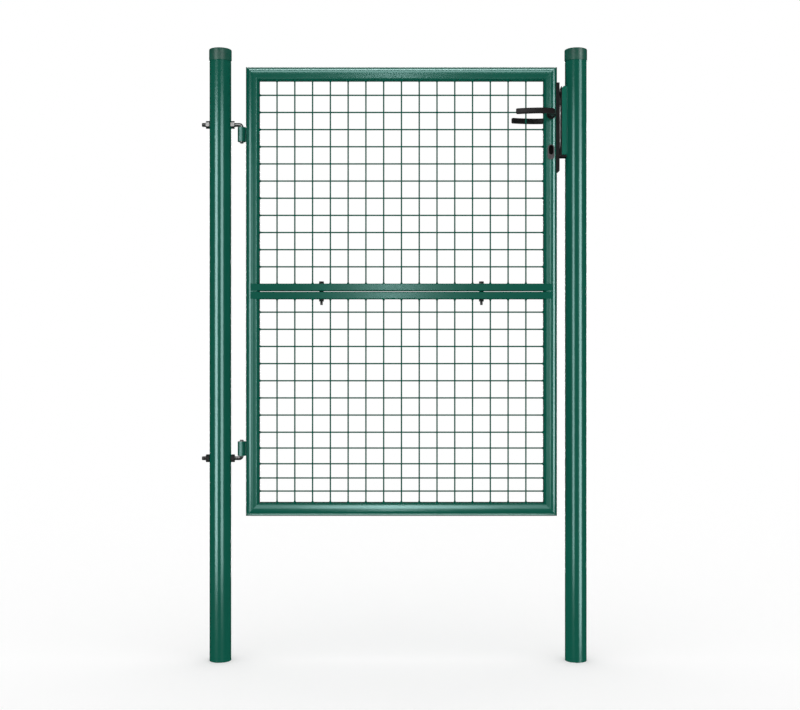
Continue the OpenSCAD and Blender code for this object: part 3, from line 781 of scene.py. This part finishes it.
hinge_side = group("hinge_side", "hinge_post", "hinge_post_cap")
latch_side = group("latch_side", "latch_post", "latch_post_cap", "strike_bracket",
                   "post_weld_beads")
bracket_only = group("bracket_only", "strike_bracket")
hinge_stiles = group("hinge_stiles", *STILES[:2])
hinge_eyes = group("hinge_eyes", "upper_hinge_eye", "lower_hinge_eye", "leaf_weld_beads")
latch_stiles = group("latch_stiles", *STILES[2:])
top_only = group("top_only", "top_rail")
bottom_only = group("bottom_only", "bottom_rail")
leaf_frame = group("leaf_frame", *RAILS, *STILES)
rails = group("rails", *RAILS)
wires = group("wires", *WIRES, "upper_wire_welds", "lower_wire_welds")
fittings = group("fittings", *[
    name for name, slot in SLOT_OF_NODE.items()
    if slot in ("zinc", "plain_steel", "grey_metal", "black_plastic") and name not in KEYWAY_NODES
], "upper_hinge_bolt_threaded", "lower_hinge_bolt_threaded", "hinge_outer_nuts_chamfered",
    "hinge_inner_nuts_chamfered", "rail_bolts_threaded", "rail_nuts_chamfered",
    "front_handle_moulded", "rear_handle_moulded")

# each row: lit group, place on X, azimuth, lowest and highest elevation, width, radiance, with the
# four angles in degrees
SIDE_STRIPS = {
    # bright lines down the posts
    "hinge_post_key": (hinge_side, HINGE_POST_X, -35.0, -10.6, 11.8, 27, 11.8),
    "hinge_post_second": (hinge_side, HINGE_POST_X, 25.3, -10.6, 11.8, 25, 8.4),
    "latch_post_second": (latch_side, LATCH_POST_X, -32.7, -10.6, 11.8, 19, 8.0),
    "latch_post_key": (latch_side, LATCH_POST_X, 42.9, -13.8, 10.0, 27, 10.8),
    "latch_post_key_top": (latch_side, LATCH_POST_X, 42.9, 10.0, 17.0, 27, 5.5),
    # bright lines down the stiles
    "hinge_stile_key": (hinge_stiles, HINGE_STILE_X, -40.0, -7.5, 11.6, 34, 7.8),
    "hinge_stile_front": (hinge_stiles, HINGE_STILE_X, -7.0, -7.5, 9.0, 12, 2.7),
    "hinge_stile_roll": (hinge_stiles, HINGE_STILE_X + ROLL, 14.0, -7.5, 13.0, 6, 14.0),
    "latch_stile_key": (latch_stiles, LATCH_STILE_X, 62.0, -7.5, 13.5, 28, 12.0),
    "latch_stile_front": (latch_stiles, LATCH_STILE_X, 4.0, -7.5, 13.0, 8, 7.5),
    "latch_stile_roll": (latch_stiles, LATCH_STILE_X - ROLL, -10.5, -7.5, 13.0, 6, 4.0),
    # and down the hinge eyes
    "hinge_eye_key": (hinge_eyes, PIN_X, -43.0, -12.0, 14.0, 32, 8.0),
    "hinge_eye_front": (hinge_eyes, PIN_X, -3.0, -12.0, 14.0, 46, 4.2),
}
for name, row in SIDE_STRIPS.items():
    side_strip(name, *row)

# upper and lower edges of the rails: lit group, height, elevation and width in degrees, radiance,
# and the length of a short strip
RAIL_STRIPS = {
    "over_top_rail": (top_only, TOP_Z, 68, 13, 16.0),
    "over_top_rail_middle": (top_only, TOP_Z, 68, 13, 24.0, 0.75),
    "over_top_rail_back": (top_only, TOP_Z, 100, 14, 2.0),
    "below_top_rail": (top_only, TOP_Z, -20, 14, 0.6),
    "under_top_rail": (top_only, TOP_Z, -60, 14, 1.5),
    "front_of_top_rail": (top_only, TOP_Z, 33, 22, 6.6),
    "over_bottom_rail": (bottom_only, BOTTOM_Z, 8, 18, 3.2, 1.5),
    "over_bottom_rail_middle": (bottom_only, BOTTOM_Z, 4, 20, 5.5, 0.75),
    "over_bottom_rail_upper": (bottom_only, BOTTOM_Z, 34, 34, 1.8, 1.7),
    "under_bottom_rail": (bottom_only, BOTTOM_Z, -94, 14, 9.0),
}
for name, row in RAIL_STRIPS.items():
    rail_strip(name, *row)

# each call: place, target, width, height, radiance, lit group
# narrow upright glow near the middle of the rails' flat fronts
soft_box("front_glow", (0.46, -3.6, 0.55), (0.46, 0, 0.55), 0.08, 5.4, 25.0, rails)
# plain fill on the side of the strike bracket, without a bright line
soft_box("bracket_fill", (1.0, -2.0, 1.5), (0.965, 0, 1.5), 1.0, 1.0, 5.0, bracket_only,
         glossy=False, diffuse=True)
# broad glows in the wires and the fittings
soft_box("wire_glow", (MIDDLE_X, -3.4, 2.4), (MIDDLE_X, 0, 1.0), 2.6, 1.2, 0.6, wires)
soft_box("fitting_glow", (-0.6, -2.6, 2.5), (MIDDLE_X, 0, 1.2), 2.4, 1.8, 1.25, fittings)
soft_box("fitting_glow_low", (1.6, -2.4, 0.2), (MIDDLE_X, 0, 1.0), 1.2, 1.2, 0.8, fittings)
# for views from behind
back_strip("back_hinge_post", hinge_side, HINGE_POST_X)
back_strip("back_latch_post", latch_side, LATCH_POST_X)
back_strip("back_hinge_stile", hinge_stiles, HINGE_STILE_X)
back_strip("back_latch_stile", latch_stiles, LATCH_STILE_X)
soft_box("back_fittings", (MIDDLE_X, BACK_Y, 2.6), (MIDDLE_X, 0, 1.2), 2.0, 1.0, 2.0, fittings)
soft_box("back_rails", (MIDDLE_X, 1.6, 3.4), (MIDDLE_X, 0, 1.4), 2.4, 0.5, 4.0, leaf_frame)

camera = bpy.data.cameras.new("camera")
camera.lens = LENS_MM
camera.sensor_width = SENSOR_MM
camera.clip_end = VIEW_END
camera_object = bpy.data.objects.new("camera", camera)
camera_object.location = CAMERA_PLACE
camera_object.rotation_euler = (math.radians(90), 0, 0)
bpy.context.scene.collection.objects.link(camera_object)
bpy.context.scene.camera = camera_object

bpy.context.scene.view_settings.view_transform = "Standard"
bpy.context.scene.view_settings.look = "None"
